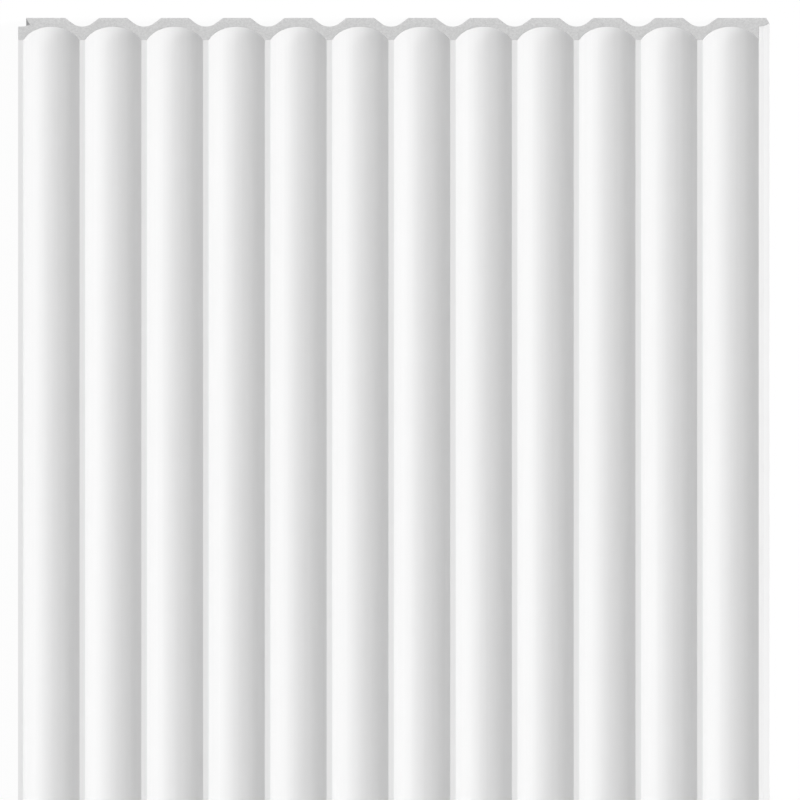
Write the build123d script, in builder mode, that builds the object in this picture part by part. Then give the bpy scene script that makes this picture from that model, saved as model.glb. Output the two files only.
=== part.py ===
from build123d import *
from math import cos, radians, sin, tan
import os

# Fluted wall panel, one extruded length of white foamed polymer. It lies on its back:
# flutes face +Z, the length runs along Y, the rebate is at -X and the tongue at +X.
# All sizes are in millimetres, all angles in degrees.

# Stock
panel_length = 2000.0
panel_thickness = 10.0

# Face: concave flutes with a narrow flat land between neighbours
flute_count = 12
flute_pitch = 20.83
flute_depth = 6.0
land_width = 2.0
edge_land = 0.15
arris_radius = 0.25

# Back: one hollow behind each land, with sloping flanks and a round root
hollow_depth = 3.9
hollow_root_radius = 4.5
hollow_flank_angle = 45.0
mouth_radius = 0.3

# Tongue on the right edge
tongue_reach = 3.45
tongue_thickness = 3.8
tongue_flat = 1.45
tongue_tip_height = 2.6
undercut_angle = 22.0

# Rebate on the left edge: the room that a neighbour's tongue needs, plus these clearances
seat_clearance = 0.1
end_clearance = 0.36
tip_headroom = 0.8

# Places across the panel. Overall width is centred on X, and a land that is split by the joint
# is shared between the two panels.
cover_width = flute_count * flute_pitch
left_edge = -(cover_width + tongue_reach) / 2
right_edge = left_edge + cover_width
first_land = land_width - edge_land
flute_width = flute_pitch - land_width
first_flute = left_edge + first_land + flute_width / 2
first_hollow = left_edge + first_land + flute_pitch - land_width / 2

# A flute is the arc through both land edges and the flute's lowest line
flute_radius = (flute_width**2 / 4 + flute_depth**2) / (2 * flute_depth)
flute_axis_height = panel_thickness - flute_depth + flute_radius

# A hollow's root arc runs into both flanks without a corner
flank = radians(hollow_flank_angle)
root_half_width = hollow_root_radius * sin(flank)
root_edge_height = hollow_depth - hollow_root_radius * (1 - cos(flank))
mouth_half_width = root_half_width + root_edge_height / tan(flank)

# The tongue leans back from its tip to its heel, and the rebate's flank leans with it
lean = tan(radians(undercut_angle))
tongue_heel = tongue_reach - tongue_tip_height * lean
rebate_mouth = tongue_heel + end_clearance
rebate_height = tongue_thickness + seat_clearance
ceiling_flat = tongue_flat + end_clearance
ceiling_drop = rebate_height - tongue_tip_height - tip_headroom
ceiling_slope = ceiling_drop / (tongue_reach - ceiling_flat)
apex_height = (rebate_height - ceiling_slope * (rebate_mouth - ceiling_flat)) / (1 + ceiling_slope * lean)
apex_reach = rebate_mouth + apex_height * lean

with BuildSketch() as hollow:
    with BuildLine():
        Polyline(
            (-root_half_width, root_edge_height),
            (-mouth_half_width, 0),
            (mouth_half_width, 0),
            (root_half_width, root_edge_height),
        )
        ThreePointArc(
            (root_half_width, root_edge_height),
            (0, hollow_depth),
            (-root_half_width, root_edge_height),
        )
    make_face()

with BuildPart() as fluted_panel:
    with BuildSketch(Plane.XZ) as section:
        with Locations((left_edge, 0)):
            Rectangle(cover_width, panel_thickness, align=(Align.MIN, Align.MIN))

        # Face: a row of round-bottomed flutes
        with Locations([(first_flute + i * flute_pitch, flute_axis_height) for i in range(flute_count)]):
            Circle(flute_radius, mode=Mode.SUBTRACT)

        # Back: a hollow behind each whole land, so that the wall keeps near one thickness
        with Locations([(first_hollow + i * flute_pitch, 0) for i in range(flute_count - 1)]):
            add(hollow.sketch, mode=Mode.SUBTRACT)

        # Left edge: rebate behind the first land
        with BuildLine():
            Polyline(
                (left_edge, 0),
                (left_edge + rebate_mouth, 0),
                (left_edge + apex_reach, apex_height),
                (left_edge + ceiling_flat, rebate_height),
                (left_edge, rebate_height),
                close=True,
            )
        make_face(mode=Mode.SUBTRACT)

        # Right edge: tongue flush with the back
        with BuildLine():
            Polyline(
                (right_edge, 0),
                (right_edge + tongue_heel, 0),
                (right_edge + tongue_reach, tongue_tip_height),
                (right_edge + tongue_flat, tongue_thickness),
                (right_edge, tongue_thickness),
                close=True,
            )
        make_face()

        # Eased land corners on the face, all but the sharp edges that close up at a joint
        land_corners = section.vertices().group_by(Axis.Y)[-1].sort_by(Axis.X)
        fillet(land_corners[1:-2], radius=arris_radius)

        # Eased hollow mouths on the back, between the rebate's corner and the tongue's heel
        back_corners = section.vertices().group_by(Axis.Y)[0].sort_by(Axis.X)
        fillet(back_corners[1:-1], radius=mouth_radius)
    extrude(amount=panel_length / 2, both=True)

fluted_panel.part.label = "fluted_panel"

os.makedirs("parts", exist_ok=True)
export_step(fluted_panel.part, "parts/fluted_panel.step")
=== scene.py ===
"""Fluted wall panel in a plain studio.

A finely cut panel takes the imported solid's place. It has a finish for each kind of surface, soft light
from the tongue's side, and a camera that looks down on the shown end.
"""

import logging
import math
from dataclasses import dataclass, field
from enum import Enum
from typing import Any

import bpy
import numpy as np
from mathutils import Matrix, Vector, geometry, kdtree, noise

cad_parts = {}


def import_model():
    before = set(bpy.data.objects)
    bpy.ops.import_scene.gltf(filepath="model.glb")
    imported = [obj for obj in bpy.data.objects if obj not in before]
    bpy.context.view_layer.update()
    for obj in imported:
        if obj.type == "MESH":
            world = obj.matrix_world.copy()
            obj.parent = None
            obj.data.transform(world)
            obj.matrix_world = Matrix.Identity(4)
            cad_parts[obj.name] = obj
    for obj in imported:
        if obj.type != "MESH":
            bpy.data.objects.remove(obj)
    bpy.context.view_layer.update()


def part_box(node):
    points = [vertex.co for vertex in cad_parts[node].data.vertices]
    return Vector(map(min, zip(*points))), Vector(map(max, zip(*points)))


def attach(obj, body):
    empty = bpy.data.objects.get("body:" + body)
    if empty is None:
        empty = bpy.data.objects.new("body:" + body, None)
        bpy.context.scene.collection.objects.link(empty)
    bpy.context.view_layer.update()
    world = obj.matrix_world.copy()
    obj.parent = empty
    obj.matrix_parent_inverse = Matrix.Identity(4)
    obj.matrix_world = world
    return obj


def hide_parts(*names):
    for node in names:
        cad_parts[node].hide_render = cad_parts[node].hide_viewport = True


LOG = logging.getLogger("fluted_wall_panel")

MM = 0.001
SAME_POINT = 0.001 * MM
WHITE = (1.0, 1.0, 1.0, 1.0)

# A sawn end's triangles lie inside the outline only, and are worked out in millimetres to this tolerance
INSIDE_ONLY = 1
CUT_TOLERANCE = 1e-6


class Zone(Enum):
    """Kinds of surface on the panel. The value is the finish's place in the mesh's materials."""

    FACE = 0
    BACK = 1
    SAWN_END = 2


class NodeBench:
    """A material's or a world's node tree, with short ways to add and join nodes.

    Attributes:
        noise_middle: the part of a noise's range that holds nearly all of its values.
        tree: the node tree.
    """

    noise_middle: tuple[float, float] = (0.25, 0.75)

    def __init__(self, tree: bpy.types.NodeTree) -> None:
        """Clears a node tree and keeps it.

        Args:
            tree: the tree to build in.
        """
        self.tree = tree
        self.tree.nodes.clear()

    def add(self, kind: str, inputs: dict[str, Any] | None = None, **settings: Any) -> bpy.types.Node:
        """Adds a node.

        Args:
            kind: the node's type, as Blender names it.
            inputs: a value for each named input socket.
            **settings: a value for each of the node's own properties.

        Returns:
            The new node.
        """
        node = self.tree.nodes.new(kind)
        for name, value in settings.items():
            setattr(node, name, value)
        for name, value in (inputs or {}).items():
            node.inputs[name].default_value = value
        return node

    def join(
        self, source: bpy.types.Node, output: str, target: bpy.types.Node, socket: str | int
    ) -> None:
        """Links a node's output to another node's input.

        Args:
            source: the node that gives the value.
            output: the name of its output.
            target: the node that takes the value.
            socket: the name or number of its input.
        """
        self.tree.links.new(source.outputs[output], target.inputs[socket])

    def stretched(self, across: float, along: float) -> bpy.types.Node:
        """Adds coordinates whose unit is a given size on the panel.

        Args:
            across: the unit across the panel and through it, in metres.
            along: the unit along the panel's length, in metres.

        Returns:
            The mapping node, whose output is Vector.
        """
        place = self.add("ShaderNodeTexCoord")
        mapping = self.add("ShaderNodeMapping", {"Scale": (1 / across, 1 / along, 1 / across)})
        self.join(place, "Object", mapping, "Vector")
        return mapping

    def cloud(self, across: float, along: float, detail: float, rough: float = 0.5) -> bpy.types.Node:
        """Adds a noise of a given size on the panel.

        Args:
            across: size of its spots across the panel, in metres.
            along: size of its spots along the panel, in metres.
            detail: how many finer layers it has.
            rough: the strength of the finer layers.

        Returns:
            The noise node, whose output is Fac.
        """
        spots = self.add("ShaderNodeTexNoise", {"Scale": 1.0, "Detail": detail, "Roughness": rough})
        self.join(self.stretched(across, along), "Vector", spots, "Vector")
        return spots

    def vary(
        self, spots: bpy.types.Node, limits: tuple[float, float], shader: bpy.types.Node, socket: str
    ) -> None:
        """Spreads a noise between two limits and joins it to a shader.

        Args:
            spots: the noise.
            limits: the value for the noise's low end and for its high end.
            shader: the shader.
            socket: the name of the shader's input.
        """
        (low, high), (least, most) = self.noise_middle, limits
        spread = self.add(
            "ShaderNodeMapRange", {"From Min": low, "From Max": high, "To Min": least, "To Max": most}
        )
        self.join(spots, "Fac", spread, "Value")
        self.join(spread, "Result", shader, socket)

    def roughen(self, spots: bpy.types.Node, output: str, height: float, shader: bpy.types.Node) -> None:
        """Gives a shader a fine relief.

        Args:
            spots: the pattern of the relief.
            output: the name of the pattern's output.
            height: how high the relief is, in metres.
            shader: the shader.
        """
        bump = self.add("ShaderNodeBump", {"Strength": 1.0, "Distance": height})
        self.join(spots, output, bump, "Height")
        self.join(bump, "Normal", shader, "Normal")


@dataclass(frozen=True)
class Finish:
    """A finish whose shade and roughness vary a little over the surface.

    Attributes:
        name: the material's name.
        shade: its darkest and its palest grey.
        roughness: its least and its greatest roughness.
        specular: how strongly it mirrors.
    """

    name: str
    shade: tuple[float, float]
    roughness: tuple[float, float]
    specular: float

    def pattern(self, bench: NodeBench, shader: bpy.types.Node) -> None:
        """Joins the finish's own pattern to its shader."""
        raise NotImplementedError(self.name)

    def material(self) -> bpy.types.Material:
        """Makes the finish.

        Returns:
            The material.
        """
        material = bpy.data.materials.new(self.name)
        material.use_nodes = True
        bench = NodeBench(material.node_tree)
        shader = bench.add("ShaderNodeBsdfPrincipled", {"Specular IOR Level": self.specular})
        output = bench.add("ShaderNodeOutputMaterial")
        bench.join(shader, "BSDF", output, "Surface")
        self.pattern(bench, shader)
        return material


@dataclass(frozen=True)
class PrimedSkin(Finish):
    """White primer on the extruded face: matt, with a very fine peel and faint lines from the die.

    Attributes:
        die_line: the width of the lines, in metres.
        die_line_length: the length of the lines.
        patch: the width of the patches of more or less sheen.
        patch_length: the length of the patches.
        peel: the size of the peel across the panel.
        peel_length: its size along the panel.
        peel_height: how high it is.
    """

    name: str = "white_primer"
    shade: tuple[float, float] = (0.868, 0.892)
    roughness: tuple[float, float] = (0.75, 0.85)
    specular: float = 0.1
    die_line: float = 0.7 * MM
    die_line_length: float = 420 * MM
    patch: float = 45 * MM
    patch_length: float = 160 * MM
    peel: float = 1.1 * MM
    peel_length: float = 1.76 * MM
    peel_height: float = 0.004 * MM

    def pattern(self, bench: NodeBench, shader: bpy.types.Node) -> None:
        """Joins lines, patches and peel to the shader.

        Args:
            bench: the material's node tree.
            shader: its shader.
        """
        lines = bench.cloud(self.die_line, self.die_line_length, detail=3.0, rough=0.6)
        bench.vary(lines, self.shade, shader, "Base Color")
        patches = bench.cloud(self.patch, self.patch_length, detail=2.0)
        bench.vary(patches, self.roughness, shader, "Roughness")
        grain = bench.cloud(self.peel, self.peel_length, detail=2.0)
        bench.roughen(grain, "Fac", self.peel_height, shader)


@dataclass(frozen=True)
class ExtrudedSkin(Finish):
    """Bare skin on the back, as the die leaves it: a little smoother than the primer, with clearer lines.

    Attributes:
        die_line: the width of the lines, in metres.
        die_line_length: the length of the lines.
        line_height: how high they are.
    """

    name: str = "bare_extruded_skin"
    shade: tuple[float, float] = (0.83, 0.875)
    roughness: tuple[float, float] = (0.6, 0.74)
    specular: float = 0.25
    die_line: float = 0.45 * MM
    die_line_length: float = 300 * MM
    line_height: float = 0.012 * MM

    def pattern(self, bench: NodeBench, shader: bpy.types.Node) -> None:
        """Joins the lines to the shader.

        Args:
            bench: the material's node tree.
            shader: its shader.
        """
        lines = bench.cloud(self.die_line, self.die_line_length, detail=4.0, rough=0.6)
        bench.vary(lines, self.shade, shader, "Base Color")
        bench.vary(lines, self.roughness, shader, "Roughness")
        bench.roughen(lines, "Fac", self.line_height, shader)


@dataclass(frozen=True)
class SawnFoam(Finish):
    """Sawn end of the foamed core: dull, a little greyer, with fine cells that the blade has opened.

    Attributes:
        cell: the size of the cells, in metres.
        cell_height: the height of the walls between them.
    """

    name: str = "sawn_foam"
    shade: tuple[float, float] = (0.73, 0.92)
    roughness: tuple[float, float] = (0.8, 0.95)
    specular: float = 0.15
    cell: float = 0.6 * MM
    cell_height: float = 0.03 * MM

    def pattern(self, bench: NodeBench, shader: bpy.types.Node) -> None:
        """Joins specks and cells to the shader.

        Args:
            bench: the material's node tree.
            shader: its shader.
        """
        specks = bench.cloud(self.cell, self.cell, detail=3.0, rough=0.65)
        bench.vary(specks, self.shade, shader, "Base Color")
        bench.vary(specks, self.roughness, shader, "Roughness")
        cells = bench.add("ShaderNodeTexVoronoi", {"Scale": 1.0, "Randomness": 1.0})
        bench.join(bench.stretched(self.cell, self.cell), "Vector", cells, "Vector")
        bench.roughen(cells, "Distance", self.cell_height, shader)


@dataclass
class Outline:
    """A closed line round the panel's section, clockwise with the face up.

    Attributes:
        spacing: the longest step between neighbouring points, in metres.
        turn: the largest turn between neighbouring points on an arc, in radians.
        points: the points so far, across the panel (x) and up from its back (y).
        zones: the kind of surface that the step to each point lies on.
    """

    spacing: float
    turn: float
    points: list[Vector] = field(default_factory=list)
    zones: list[Zone] = field(default_factory=list)

    def begin(self, across: float, up: float) -> None:
        """Sets the first point, which the last run comes back to."""
        self.points.append(Vector((across, up)))

    def run(self, across: float, up: float, zone: Zone) -> None:
        """Adds a straight run.

        Args:
            across: where the run ends, across the panel.
            up: where the run ends, above the back.
            zone: the kind of surface on it.
        """
        start, end = self.points[-1], Vector((across, up))
        steps = max(1, math.ceil((end - start).length / self.spacing))
        for i in range(1, steps + 1):
            self.points.append(start.lerp(end, i / steps))
            self.zones.append(zone)

    def arc(self, centre: Vector, radius: float, start: float, end: float, zone: Zone) -> None:
        """Adds a straight run to an arc's start, if it isn't there yet, and then the arc.

        Args:
            centre: the arc's centre.
            radius: the arc's radius.
            start: the angle it starts at, in radians from the panel's +X towards its face.
            end: the angle it ends at.
            zone: the kind of surface on it.
        """
        first = centre + radius * Vector((math.cos(start), math.sin(start)))
        if (first - self.points[-1]).length > SAME_POINT:
            self.run(*first, zone)
        length = abs(end - start)
        steps = max(2, math.ceil(length / self.turn), math.ceil(length * radius / self.spacing))
        for i in range(1, steps + 1):
            angle = start + (end - start) * i / steps
            self.points.append(centre + radius * Vector((math.cos(angle), math.sin(angle))))
            self.zones.append(zone)

    def close(self, zone: Zone) -> None:
        """Runs straight back to the first point."""
        self.run(*self.points[0], zone)
        self.points.pop()


@dataclass(frozen=True)
class SawnEnd:
    """The relief on a sawn end: cells that the blade has opened, as shallow dents below the cut.

    Attributes:
        seed: the number that the scatter and the dents come from.
        spacing: the distance between the points of the cut, in metres.
        stray: how far a point strays from its row, as a share of the spacing.
        margin: how near to the edge the points come.
        rim_steps: how many places the margin is measured from, on each step of the edge.
        cell: the size of the dents.
        depth: how deep the deepest dents are.
        mean: how deep the cut is on average, as a share of that depth.
        coarse: how much the dents change it.
        fine: how much smaller dents among them change it.
        fine_scale: how many times smaller those are.
        fine_shift: where their pattern lies, so that it doesn't repeat the larger one's.
    """

    seed: int
    spacing: float = 0.32 * MM
    stray: float = 0.22
    margin: float = 0.2 * MM
    rim_steps: int = 4
    cell: float = 1.0 * MM
    depth: float = 0.07 * MM
    mean: float = 0.45
    coarse: float = 0.55
    fine: float = 0.4
    fine_scale: float = 2.7
    fine_shift: tuple[float, float] = (5.3, 1.7)

    def scatter(self, outline: list[Vector]) -> list[Vector]:
        """Scatters points over the inside of the section.

        Args:
            outline: the section's outline.

        Returns:
            The points that lie inside it, clear of its edge.
        """
        edge = np.array([tuple(p) for p in outline])
        low, high = edge.min(axis=0), edge.max(axis=0)
        rows = np.arange(low[1], high[1], self.spacing * math.sqrt(3) / 2)
        columns = np.arange(low[0], high[0], self.spacing)
        across, up = np.meshgrid(columns, rows)
        across[1::2] += self.spacing / 2
        spots = np.stack([across.ravel(), up.ravel()], axis=1)
        draws = np.random.default_rng(self.seed).uniform(-self.stray, self.stray, spots.shape)
        spots += draws * self.spacing

        following = np.roll(edge, -1, axis=0)
        inside = np.zeros(len(spots), bool)
        for (x0, y0), (x1, y1) in zip(edge, following):
            if y0 == y1:
                continue
            crossed = (spots[:, 1] >= min(y0, y1)) & (spots[:, 1] < max(y0, y1))
            inside ^= crossed & (spots[:, 0] < x0 + (spots[:, 1] - y0) * (x1 - x0) / (y1 - y0))

        shares = [step / self.rim_steps for step in range(self.rim_steps)]
        rim = np.concatenate([edge + share * (following - edge) for share in shares])
        near = kdtree.KDTree(len(rim))
        for i, (x, y) in enumerate(rim):
            near.insert((x, y, 0.0), i)
        near.balance()
        return [Vector(p) for p in spots[inside] if near.find((*p, 0.0))[2] > self.margin]

    def cut(self, outline: list[Vector]) -> tuple[list[Vector], list[list[int]]]:
        """Covers the section with small triangles.

        Args:
            outline: the section's outline.

        Returns:
            The scattered points, and each triangle's corners as numbers. The outline's points are
            numbered first, and then the scattered ones.
        """
        spots = self.scatter(outline)
        count = len(outline)
        flat = [p / MM for p in outline[::-1]] + [p / MM for p in spots]
        border = [list(range(count))]
        made = geometry.delaunay_2d_cdt(flat, [], border, INSIDE_ONLY, CUT_TOLERANCE)[2]
        return spots, [[count - 1 - v if v < count else v for v in triangle] for triangle in made]

    def dent(self, spot: Vector) -> float:
        """Measures how far a point of the cut lies below the sawn plane.

        Args:
            spot: the point, across and up.

        Returns:
            The depth in metres, from 0 to the full depth.
        """
        place = Vector((spot.x / self.cell, spot.y / self.cell, self.seed))
        coarse = noise.noise(place)
        fine = noise.noise(place * self.fine_scale + Vector((*self.fine_shift, 0.0)))
        return self.depth * min(1.0, max(0.0, self.mean + self.coarse * coarse + self.fine * fine))


@dataclass
class FlutedPanel:
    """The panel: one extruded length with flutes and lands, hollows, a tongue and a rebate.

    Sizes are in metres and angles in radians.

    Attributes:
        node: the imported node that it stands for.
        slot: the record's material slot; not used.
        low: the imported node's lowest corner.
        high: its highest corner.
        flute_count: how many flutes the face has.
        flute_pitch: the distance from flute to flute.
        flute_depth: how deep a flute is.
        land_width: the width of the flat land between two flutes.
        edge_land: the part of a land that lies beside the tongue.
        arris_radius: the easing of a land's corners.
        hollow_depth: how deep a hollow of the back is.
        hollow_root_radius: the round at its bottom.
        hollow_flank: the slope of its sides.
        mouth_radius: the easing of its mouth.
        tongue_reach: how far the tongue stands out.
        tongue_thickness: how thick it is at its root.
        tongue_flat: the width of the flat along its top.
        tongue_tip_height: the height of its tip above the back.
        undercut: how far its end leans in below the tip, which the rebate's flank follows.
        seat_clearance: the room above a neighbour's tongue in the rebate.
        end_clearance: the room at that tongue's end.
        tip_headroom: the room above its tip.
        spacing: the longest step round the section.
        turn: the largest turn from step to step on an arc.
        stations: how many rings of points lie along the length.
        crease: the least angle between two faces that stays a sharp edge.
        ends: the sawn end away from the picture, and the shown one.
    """

    node: str
    slot: str
    low: Vector
    high: Vector
    flute_count: int = 12
    flute_pitch: float = 20.83 * MM
    flute_depth: float = 6.0 * MM
    land_width: float = 2.0 * MM
    edge_land: float = 0.15 * MM
    arris_radius: float = 0.25 * MM
    hollow_depth: float = 3.9 * MM
    hollow_root_radius: float = 4.5 * MM
    hollow_flank: float = math.radians(45.0)
    mouth_radius: float = 0.3 * MM
    tongue_reach: float = 3.45 * MM
    tongue_thickness: float = 3.8 * MM
    tongue_flat: float = 1.45 * MM
    tongue_tip_height: float = 2.6 * MM
    undercut: float = math.radians(22.0)
    seat_clearance: float = 0.1 * MM
    end_clearance: float = 0.36 * MM
    tip_headroom: float = 0.8 * MM
    spacing: float = 0.45 * MM
    turn: float = math.radians(12.0)
    stations: int = 9
    crease: float = math.radians(28.0)
    ends: tuple[SawnEnd, SawnEnd] = (SawnEnd(seed=11), SawnEnd(seed=23))

    @property
    def thickness(self) -> float:
        """Height of the lands above the back."""
        return self.high.z - self.low.z

    @property
    def left(self) -> float:
        """Place of the edge with the rebate."""
        return self.low.x

    @property
    def right(self) -> float:
        """Place of the upright edge that the tongue stands out of."""
        return self.high.x - self.tongue_reach

    @property
    def heel(self) -> float:
        """Reach of the tongue at its back."""
        return self.tongue_reach - self.tongue_tip_height * math.tan(self.undercut)

    def face(self, outline: Outline) -> None:
        """Adds lands and flutes from the left edge to the right.

        Args:
            outline: the outline, which starts at the rebate's ceiling on the left edge.
        """
        top, ease = self.thickness, self.arris_radius
        half = (self.flute_pitch - self.land_width) / 2
        radius = (half**2 + self.flute_depth**2) / (2 * self.flute_depth)
        axis_height = top - self.flute_depth + radius
        drop = axis_height - (top - ease)
        reach = math.sqrt((radius + ease) ** 2 - drop**2)
        lean = math.atan2(-drop, reach)
        sharp = math.atan2(top - axis_height, half)

        outline.run(self.left, top, Zone.FACE)
        for i in range(self.flute_count):
            axis = self.left + self.land_width - self.edge_land + half + i * self.flute_pitch
            last = i == self.flute_count - 1
            before = Vector((axis - reach, top - ease))
            middle = Vector((axis, axis_height))
            after = Vector((axis + reach, top - ease))
            outline.arc(before, ease, math.pi / 2, -lean, Zone.FACE)
            outline.arc(middle, radius, -math.pi - lean, sharp if last else lean, Zone.FACE)
            if not last:
                outline.arc(after, ease, math.pi + lean, math.pi / 2, Zone.FACE)
        outline.run(self.right, top, Zone.FACE)

    def tongue(self, outline: Outline) -> None:
        """Adds the right edge and the tongue down to its heel.

        Args:
            outline: the outline, which has reached the last land's right end.
        """
        outline.run(self.right, self.tongue_thickness, Zone.FACE)
        outline.run(self.right + self.tongue_flat, self.tongue_thickness, Zone.FACE)
        outline.run(self.right + self.tongue_reach, self.tongue_tip_height, Zone.FACE)
        outline.run(self.right + self.heel, 0.0, Zone.FACE)

    def back(self, outline: Outline) -> None:
        """Adds back lands and hollows from the tongue's heel to the rebate.

        Args:
            outline: the outline, which has reached the tongue's heel.
        """
        flank, ease, root = self.hollow_flank, self.mouth_radius, self.hollow_root_radius
        root_height = self.hollow_depth - root
        edge_height = root_height + root * math.cos(flank)
        mouth = root * math.sin(flank) + edge_height / math.tan(flank)
        setback = ease * math.tan(flank / 2)
        quarter = math.pi / 2
        for i in reversed(range(1, self.flute_count)):
            middle = self.left + i * self.flute_pitch + self.land_width / 2 - self.edge_land
            near = Vector((middle + mouth + setback, ease))
            bottom = Vector((middle, root_height))
            far = Vector((middle - mouth - setback, ease))
            outline.arc(near, ease, -quarter, -quarter - flank, Zone.BACK)
            outline.arc(bottom, root, quarter - flank, quarter + flank, Zone.BACK)
            outline.arc(far, ease, flank - quarter, -quarter, Zone.BACK)

    def rebate(self, outline: Outline) -> None:
        """Adds the rebate and comes back to the start.

        Args:
            outline: the outline, which has passed the last hollow.
        """
        lean = math.tan(self.undercut)
        mouth = self.heel + self.end_clearance
        height = self.tongue_thickness + self.seat_clearance
        flat = self.tongue_flat + self.end_clearance
        slope = (height - self.tongue_tip_height - self.tip_headroom) / (self.tongue_reach - flat)
        apex = (height - slope * (mouth - flat)) / (1 + slope * lean)
        outline.run(self.left + mouth, 0.0, Zone.BACK)
        outline.run(self.left + mouth + apex * lean, apex, Zone.BACK)
        outline.run(self.left + flat, height, Zone.BACK)
        outline.close(Zone.BACK)

    def outline(self) -> Outline:
        """Draws the section.

        Returns:
            The closed outline, with heights above the back.
        """
        outline = Outline(self.spacing, self.turn)
        outline.begin(self.left, self.tongue_thickness + self.seat_clearance)
        self.face(outline)
        self.tongue(outline)
        self.back(outline)
        self.rebate(outline)
        return outline

    def strips(self, outline: Outline) -> tuple[list[tuple[int, ...]], list[int]]:
        """Lists the faces that run along the panel from ring to ring.

        Args:
            outline: the section's outline.

        Returns:
            Each face's corners, and each face's material index.
        """
        count = len(outline.points)
        faces, kinds = [], []
        for station in range(self.stations - 1):
            here, ahead = station * count, (station + 1) * count
            for i in range(count):
                j = (i + 1) % count
                faces.append((here + i, here + j, ahead + j, ahead + i))
                kinds.append(outline.zones[i].value)
        return faces, kinds

    def mesh(self) -> bpy.types.Mesh:
        """Makes the panel's closed mesh: long strips round the section, and a dented cut at each end.

        Returns:
            The mesh, with a material index on each face.
        """
        outline = self.outline()
        ring, count = outline.points, len(outline.points)
        places = np.linspace(self.low.y, self.high.y, self.stations)
        corners = [(p.x, y, self.low.z + p.y) for y in places for p in ring]
        faces, kinds = self.strips(outline)

        for end, first, inward in zip(self.ends, (0, (self.stations - 1) * count), (1.0, -1.0)):
            spots, triangles = end.cut(ring)
            start, y = len(corners), corners[first][1]
            corners += [(p.x, y + inward * end.dent(p), self.low.z + p.y) for p in spots]
            for triangle in triangles:
                around = [first + v if v < count else start + v - count for v in triangle]
                faces.append(tuple(around if inward > 0 else reversed(around)))
                kinds.append(Zone.SAWN_END.value)

        mesh = bpy.data.meshes.new(self.node)
        mesh.from_pydata(corners, [], faces)
        mesh.polygons.foreach_set("material_index", kinds)
        mesh.shade_smooth()
        mesh.set_sharp_from_angle(angle=self.crease)
        mesh.validate()
        return mesh

    def dress(self, mesh: bpy.types.Mesh, finishes: dict[Zone, Finish]) -> None:
        """Gives the mesh its finishes.

        Args:
            mesh: the panel's mesh.
            finishes: the finish for each kind of surface.
        """
        for zone in Zone:
            mesh.materials.append(finishes[zone].material())

    def build(self, finishes: dict[Zone, Finish]) -> bpy.types.Object:
        """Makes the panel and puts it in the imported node's place.

        Args:
            finishes: the finish for each kind of surface.

        Returns:
            The panel's object.
        """
        mesh = self.mesh()
        self.dress(mesh, finishes)
        panel = bpy.data.objects.new("fluted_panel_dressed", mesh)
        bpy.context.scene.collection.objects.link(panel)
        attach(panel, "root")
        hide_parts(self.node)
        return panel


@dataclass(frozen=True)
class SoftLamp:
    """A large soft lamp, far enough away to light the whole panel alike.

    Attributes:
        name: the lamp's name.
        level: the brightness that it gives a white surface that faces it.
        lean: how far it leans off the upright, in radians.
        turn: the side that it leans to, in radians from the tongue's side towards the shown end.
        size: the angle across it, in radians.
        away: where it hangs, in metres from the panel's middle.
    """

    name: str
    level: float
    lean: float
    turn: float
    size: float = math.radians(14.0)
    away: float = 4.0

    def build(self) -> bpy.types.Object:
        """Makes the lamp.

        Returns:
            The lamp's object.
        """
        data = bpy.data.lights.new(self.name, "SUN")
        data.energy = math.pi * self.level
        data.angle = self.size
        side = Vector((math.cos(self.turn), math.sin(self.turn), 0.0))
        towards = math.sin(self.lean) * side + Vector((0.0, 0.0, math.cos(self.lean)))
        lamp = bpy.data.objects.new(self.name, data)
        lamp.location = self.away * towards
        lamp.rotation_mode = "QUATERNION"
        lamp.rotation_quaternion = towards.to_track_quat("Z", "Y")
        bpy.context.scene.collection.objects.link(lamp)
        return lamp


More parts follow.
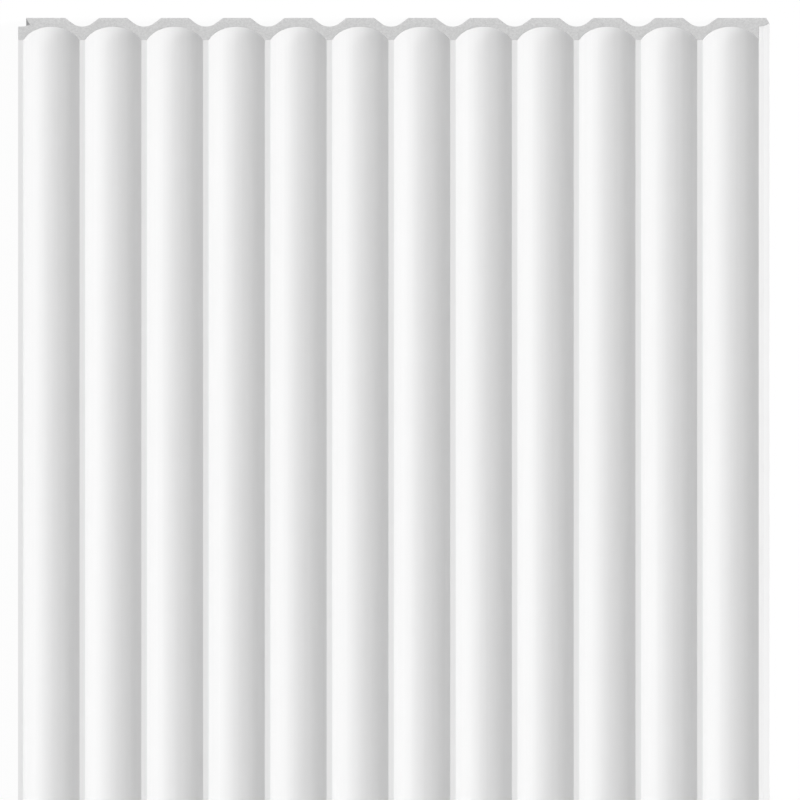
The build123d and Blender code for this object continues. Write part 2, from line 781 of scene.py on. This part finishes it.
@dataclass(frozen=True)
class Studio:
    """A pale floor, even light from all round, a soft lamp overhead and two on the tongue's side.

    Attributes:
        ambient: the level of the even light.
        lamps: the soft lamps.
        floor_half: half the floor's width, in metres.
        floor_drop: how far the floor lies below the panel's back.
        floor_shade: how pale the floor is to the light.
        floor_glow: the floor's own brightness where it shows.
        shadow: the share of light and shade that shows on the white floor.
    """

    ambient: float = 0.334
    lamps: tuple[SoftLamp, ...] = (
        SoftLamp("overhead_lamp", 0.161, math.radians(30.0), math.radians(180.0)),
        SoftLamp("high_side_lamp", 0.329, math.radians(44.1), math.radians(30.0)),
        SoftLamp("low_side_lamp", 0.391, math.radians(63.4), math.radians(30.0), math.radians(24.0)),
    )
    floor_half: float = 30.0
    floor_drop: float = 0.05 * MM
    floor_shade: float = 0.6
    floor_glow: float = 1.007
    shadow: float = 0.05

    @staticmethod
    def seen(bench: NodeBench) -> bpy.types.Node:
        """Adds the test for rays that show the surroundings: straight, mirrored or through glass.

        Args:
            bench: the node tree to add it to.

        Returns:
            The last node of the test, whose output is Value.
        """
        path = bench.add("ShaderNodeLightPath")
        either = bench.add("ShaderNodeMath", operation="MAXIMUM")
        bench.join(path, "Is Camera Ray", either, 0)
        bench.join(path, "Is Glossy Ray", either, 1)
        anyway = bench.add("ShaderNodeMath", operation="MAXIMUM")
        bench.join(either, "Value", anyway, 0)
        bench.join(path, "Is Transmission Ray", anyway, 1)
        return anyway

    def surroundings(self) -> None:
        """Makes the world: white where it shows, and the even light's level where it only lights."""
        world = bpy.data.worlds.new("studio_surroundings")
        world.use_nodes = True
        bpy.context.scene.world = world
        bench = NodeBench(world.node_tree)
        light = bench.add("ShaderNodeBackground", {"Color": WHITE, "Strength": self.ambient})
        white = bench.add("ShaderNodeBackground", {"Color": WHITE, "Strength": 1.0})
        choice = bench.add("ShaderNodeMixShader")
        output = bench.add("ShaderNodeOutputWorld")
        bench.join(self.seen(bench), "Value", choice, 0)
        bench.join(light, "Background", choice, 1)
        bench.join(white, "Background", choice, 2)
        bench.join(choice, "Shader", output, "Surface")

    def floor_finish(self) -> bpy.types.Material:
        """Makes the floor's finish: pale to the light, and white with a faint shadow where it shows.

        Returns:
            The material.
        """
        material = bpy.data.materials.new("pale_floor")
        material.use_nodes = True
        bench = NodeBench(material.node_tree)
        shade = self.floor_shade
        matt = bench.add("ShaderNodeBsdfDiffuse", {"Color": (shade, shade, shade, 1.0)})
        lit = bench.add("ShaderNodeBsdfDiffuse", {"Color": WHITE})
        glow = bench.add("ShaderNodeEmission", {"Color": WHITE, "Strength": self.floor_glow})
        shown = bench.add("ShaderNodeMixShader", {"Fac": 1.0 - self.shadow})
        choice = bench.add("ShaderNodeMixShader")
        output = bench.add("ShaderNodeOutputMaterial")
        bench.join(lit, "BSDF", shown, 1)
        bench.join(glow, "Emission", shown, 2)
        bench.join(self.seen(bench), "Value", choice, 0)
        bench.join(matt, "BSDF", choice, 1)
        bench.join(shown, "Shader", choice, 2)
        bench.join(choice, "Shader", output, "Surface")
        return material

    def floor(self, height: float) -> bpy.types.Object:
        """Makes the floor.

        Args:
            height: the height that the panel lies at.

        Returns:
            The floor's object.
        """
        half = self.floor_half
        corners = [(-half, -half, 0), (half, -half, 0), (half, half, 0), (-half, half, 0)]
        mesh = bpy.data.meshes.new("studio_floor")
        mesh.from_pydata(corners, [], [(0, 1, 2, 3)])
        mesh.materials.append(self.floor_finish())
        floor = bpy.data.objects.new("studio_floor", mesh)
        floor.location.z = height - self.floor_drop
        bpy.context.scene.collection.objects.link(floor)
        return floor

    def build(self, height: float) -> None:
        """Sets the studio up round the panel.

        Args:
            height: the height that the panel lies at.
        """
        bpy.context.scene.view_settings.view_transform = "Standard"
        self.surroundings()
        self.floor(height)
        for lamp in self.lamps:
            lamp.build()


@dataclass(frozen=True)
class PictureCamera:
    """A camera with a parallel view from above the shown end, with that end at the picture's top.

    Attributes:
        picture: the width that the picture takes in, in metres.
        lean: how far the view leans off the face's upright, towards the shown end, in radians.
        aim_across: where the picture's middle is, across the panel.
        aim_along: how far it is from the shown end.
        away: the distance from the camera to the aim.
    """

    picture: float = 269.8 * MM
    lean: float = math.radians(48.2)
    aim_across: float = 2.11 * MM
    aim_along: float = 182.15 * MM
    away: float = 3.0

    def build(self, panel: FlutedPanel) -> bpy.types.Object:
        """Makes the camera and hands it to the scene.

        Args:
            panel: the panel to look at.

        Returns:
            The camera's object.
        """
        data = bpy.data.cameras.new("picture_camera")
        data.type = "ORTHO"
        data.ortho_scale = self.picture
        right = Vector((1.0, 0.0, 0.0))
        up = Vector((0.0, math.cos(self.lean), -math.sin(self.lean)))
        back = Vector((0.0, math.sin(self.lean), math.cos(self.lean)))
        aim = Vector((self.aim_across, panel.high.y - self.aim_along, panel.high.z))
        turned = Matrix((right, up, back)).transposed().to_4x4()
        camera = bpy.data.objects.new("picture_camera", data)
        camera.matrix_world = Matrix.Translation(aim + self.away * back) @ turned
        bpy.context.scene.collection.objects.link(camera)
        bpy.context.scene.camera = camera
        return camera


def main() -> None:
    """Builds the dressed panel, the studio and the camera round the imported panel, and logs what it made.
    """
    logging.basicConfig(level=logging.INFO, format="%(name)s: %(message)s")
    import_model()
    low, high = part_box("fluted_panel")

    panel = FlutedPanel("fluted_panel", "white_polymer", low, high)
    finishes = {Zone.FACE: PrimedSkin(), Zone.BACK: ExtrudedSkin(), Zone.SAWN_END: SawnFoam()}
    piece = panel.build(finishes)
    LOG.info("%s: %d corners, %d faces", piece.name, len(piece.data.vertices), len(piece.data.polygons))

    Studio().build(low.z)
    LOG.info("studio: floor, surroundings and soft lamps")

    camera = PictureCamera().build(panel)
    LOG.info("%s: %.2f m above the floor", camera.name, camera.matrix_world.translation.z)


if __name__ == "__main__":
    main()
